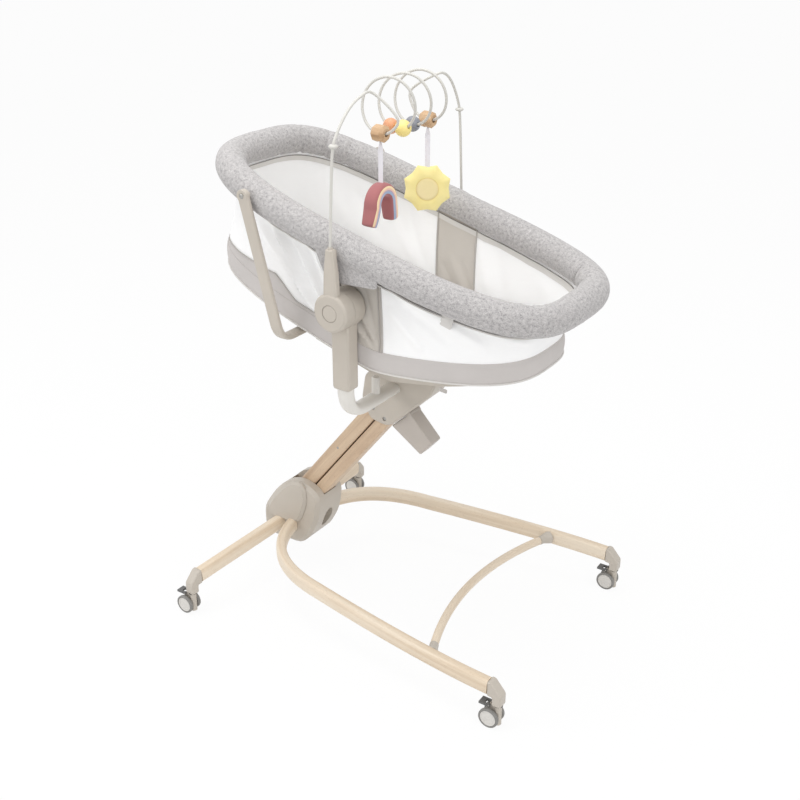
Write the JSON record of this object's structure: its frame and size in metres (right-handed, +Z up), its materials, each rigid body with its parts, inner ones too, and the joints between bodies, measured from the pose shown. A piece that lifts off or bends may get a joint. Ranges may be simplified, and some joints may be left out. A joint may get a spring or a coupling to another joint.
{
  "type": "convertible bassinet",
  "caption": "Bassinet with a padded oval rim and cloth walls, tilting in a fork on a slanted wooden column with splayed legs on castors, under an arched toy bar.",
  "frame": {"origin": "centre of the bounding box on the floor plane, on the plane of symmetry of the stand", "axes": "+X to the foot end of the basket, +Y to the far side in the picture, +Z up"},
  "size_m": [0.8437, 0.702, 1.2065],
  "materials": {
    "plastic": "satin warm grey",
    "pale_tube": "satin light grey paint",
    "beech": "clear matt lacquer",
    "castor_wheel": "satin pale grey",
    "brake_grey": "matt dark grey",
    "steel": "plain",
    "heather": "heather grey knit",
    "mesh_cloth": "white knit",
    "band_cloth": "warm grey weave",
    "board": "matt",
    "white_cloth": "soft white",
    "wire_grey": "satin pale grey paint",
    "bead_wood": "clear matt lacquer",
    "bead_orange": "satin paint",
    "bead_yellow": "satin paint",
    "bead_slate": "satin paint",
    "toy_rose": "soft felt with cream and blue stripes",
    "toy_yellow": "soft felt"
  },
  "bodies": {
    "base": {"hub": "plastic", "leg_foot_near": "beech", "leg_foot_far": "beech", "leg_head_near": "beech", "leg_head_far": "beech", "leg_cap_foot_near": "plastic", "leg_cap_foot_far": "plastic", "leg_cap_head_near": "plastic", "leg_cap_head_far": "plastic", "cross_bar": "beech", "cross_bar_fitting_near": "plastic", "cross_bar_fitting_far": "plastic", "column_pin_foot_lower": "steel", "column_pin_foot_upper": "steel"},
    "hub_push": {"hub_button": "plastic"},
    "castor_head_near": {"castor_body_head_near": "plastic"},
    "wheels_head_near": {"castor_wheels_head_near": "castor_wheel"},
    "brake_head_near": {"castor_brake_head_near": "brake_grey"},
    "castor_head_far": {"castor_body_head_far": "plastic"},
    "wheels_head_far": {"castor_wheels_head_far": "castor_wheel"},
    "brake_head_far": {"castor_brake_head_far": "brake_grey"},
    "castor_foot_near": {"castor_body_foot_near": "plastic"},
    "wheels_foot_near": {"castor_wheels_foot_near": "castor_wheel"},
    "brake_foot_near": {"castor_brake_foot_near": "brake_grey"},
    "castor_foot_far": {"castor_body_foot_far": "plastic"},
    "wheels_foot_far": {"castor_wheels_foot_far": "castor_wheel"},
    "brake_foot_far": {"castor_brake_foot_far": "brake_grey"},
    "upper_bar": {"column_bar_upper": "beech"},
    "lower_bar": {"column_bar_lower": "beech"},
    "head": {"head_casting": "plastic", "carrier_fork": "pale_tube", "arm_cover_near": "plastic", "arm_cover_far": "plastic", "column_pin_head_lower": "steel", "column_pin_head_upper": "steel"},
    "lever": {"release_lever": "plastic"},
    "basket": {"basket_bracket_near": "plastic", "basket_bracket_far": "plastic", "rim_tube": "steel", "rim_sleeve": "heather", "wall_head": "mesh_cloth", "wall_foot": "mesh_cloth", "gusset_near": "band_cloth", "gusset_far": "band_cloth", "base_band": "band_cloth", "base_floor": "board", "seat_tray": "plastic", "mattress": "white_cloth"},
    "tilt_push_near": {"tilt_button_near": "plastic"},
    "tilt_push_far": {"tilt_button_far": "plastic"},
    "stirrup": {"head_stirrup": "plastic"},
    "toy_wire": {"toy_bar": "wire_grey"},
    "arch_bead": {"bead_arch": "bead_wood"},
    "arch": {"toy_arch": "toy_rose"},
    "star_bead": {"bead_star": "bead_wood"},
    "star": {"toy_star": "toy_yellow"},
    "yellow_bead": {"bead_yellow": "bead_yellow"},
    "orange_bead": {"bead_orange": "bead_orange"},
    "slate_bead": {"bead_slate": "bead_slate"}
  },
  "joints": [
    {"name": "swivel_head_near", "type": "hinge", "parent": "base", "child": "castor_head_near", "pos_m": [-0.37055, -0.334, 0.06], "axis": [0, 0, 1], "continuous": true},
    {"name": "roll_head_near", "type": "hinge", "parent": "castor_head_near", "child": "wheels_head_near", "pos_m": [-0.38555, -0.334, 0.022], "axis": [0, 1, 0], "continuous": true},
    {"name": "brake_press_head_near", "type": "hinge", "parent": "castor_head_near", "child": "brake_head_near", "pos_m": [-0.38855, -0.334, 0.0485], "axis": [0, -1, 0], "range_deg": [0, 8]},
    {"name": "swivel_head_far", "type": "hinge", "parent": "base", "child": "castor_head_far", "pos_m": [-0.37055, 0.334, 0.06], "axis": [0, 0, 1], "continuous": true},
    {"name": "roll_head_far", "type": "hinge", "parent": "castor_head_far", "child": "wheels_head_far", "pos_m": [-0.38555, 0.334, 0.022], "axis": [0, 1, 0], "continuous": true},
    {"name": "brake_press_head_far", "type": "hinge", "parent": "castor_head_far", "child": "brake_head_far", "pos_m": [-0.38855, 0.334, 0.0485], "axis": [0, -1, 0], "range_deg": [0, 8]},
    {"name": "swivel_foot_near", "type": "hinge", "parent": "base", "child": "castor_foot_near", "pos_m": [0.40845, -0.289, 0.06], "axis": [0, 0, 1], "continuous": true},
    {"name": "roll_foot_near", "type": "hinge", "parent": "castor_foot_near", "child": "wheels_foot_near", "pos_m": [0.39345, -0.289, 0.022], "axis": [0, 1, 0], "continuous": true},
    {"name": "brake_press_foot_near", "type": "hinge", "parent": "castor_foot_near", "child": "brake_foot_near", "pos_m": [0.39045, -0.289, 0.0485], "axis": [0, -1, 0], "range_deg": [0, 8]},
    {"name": "swivel_foot_far", "type": "hinge", "parent": "base", "child": "castor_foot_far", "pos_m": [0.40845, 0.289, 0.06], "axis": [0, 0, 1], "continuous": true},
    {"name": "roll_foot_far", "type": "hinge", "parent": "castor_foot_far", "child": "wheels_foot_far", "pos_m": [0.39345, 0.289, 0.022], "axis": [0, 1, 0], "continuous": true},
    {"name": "brake_press_foot_far", "type": "hinge", "parent": "castor_foot_far", "child": "brake_foot_far", "pos_m": [0.39045, 0.289, 0.0485], "axis": [0, -1, 0], "range_deg": [0, 8]},
    {"name": "hub_press", "type": "slide", "parent": "base", "child": "hub_push", "axis": [1, 0, 0], "range_m": [0, 0.004], "stiffness_N_per_m": 400, "springref_m": -0.002},
    {"name": "column_rise", "type": "hinge", "parent": "base", "child": "upper_bar", "pos_m": [-0.33125, 0, 0.15331], "axis": [0, -1, 0], "range_deg": [0, 24]},
    {"name": "link_swing", "type": "hinge", "parent": "base", "child": "lower_bar", "pos_m": [-0.30155, 0, 0.1335], "axis": [0, -1, 0], "range_deg": [0, 24]},
    {"name": "head_level", "type": "hinge", "parent": "upper_bar", "child": "head", "pos_m": [-0.06552, 0, 0.48499], "axis": [0, -1, 0], "range_deg": [-24, 0]},
    {"name": "lever_pull", "type": "hinge", "parent": "head", "child": "lever", "pos_m": [0.01845, 0, 0.484], "axis": [0, -1, 0], "range_deg": [0, 18], "stiffness_Nm_per_rad": 1.5, "springref_deg": -14.32},
    {"name": "basket_tilt", "type": "hinge", "parent": "head", "child": "basket", "pos_m": [-0.01255, 0, 0.785], "axis": [0, 1, 0], "range_deg": [-16, 12]},
    {"name": "tilt_press_near", "type": "slide", "parent": "basket", "child": "tilt_push_near", "axis": [0, 1, 0], "range_m": [0, 0.004], "stiffness_N_per_m": 400, "springref_m": -0.002},
    {"name": "tilt_press_far", "type": "slide", "parent": "basket", "child": "tilt_push_far", "axis": [0, -1, 0], "range_m": [0, 0.004], "stiffness_N_per_m": 400, "springref_m": -0.002},
    {"name": "stirrup_swing", "type": "hinge", "parent": "basket", "child": "stirrup", "pos_m": [-0.22855, 0, 0.98335], "axis": [0, 1, 0], "range_deg": [0, 60]},
    {"name": "toy_bar_lift", "type": "slide", "parent": "basket", "child": "toy_wire", "axis": [0, 0, 1], "range_m": [0, 0.025]},
    {"name": "arch_sway", "type": "hinge", "parent": "toy_wire", "child": "arch_bead", "pos_m": [-0.01255, -0.074, 1.1014], "axis": [-0.9846, 0.1748, 0], "range_deg": [-14, 25]},
    {"name": "arch_swing", "type": "hinge", "parent": "arch_bead", "child": "arch", "pos_m": [-0.01255, -0.074, 1.0928], "axis": [0, 1, 0], "range_deg": [-25, 25]},
    {"name": "star_sway", "type": "hinge", "parent": "toy_wire", "child": "star_bead", "pos_m": [-0.01255, 0.1, 1.1014], "axis": [-0.9846, 0.1748, 0], "range_deg": [-14, 14]},
    {"name": "star_swing", "type": "hinge", "parent": "star_bead", "child": "star", "pos_m": [-0.01255, 0.1, 1.0928], "axis": [0, 1, 0], "range_deg": [-25, 25]},
    {"name": "yellow_spin", "type": "hinge", "parent": "toy_wire", "child": "yellow_bead", "pos_m": [0.0041, -0.01901, 1.10414], "axis": [-0.9328, 0.1748, -0.3153], "continuous": true},
    {"name": "orange_spin", "type": "hinge", "parent": "toy_wire", "child": "orange_bead", "pos_m": [-0.0292, -0.01299, 1.10414], "axis": [-0.9328, 0.1748, 0.3153], "continuous": true},
    {"name": "slate_spin", "type": "hinge", "parent": "toy_wire", "child": "slate_bead", "pos_m": [-0.01255, 0.042, 1.1014], "axis": [-0.9846, 0.1748, 0], "continuous": true}
  ],
  "couplings": [
    {"joint": "link_swing", "follows": "column_rise", "ratio": 1},
    {"joint": "head_level", "follows": "column_rise", "ratio": -1}
  ]
}
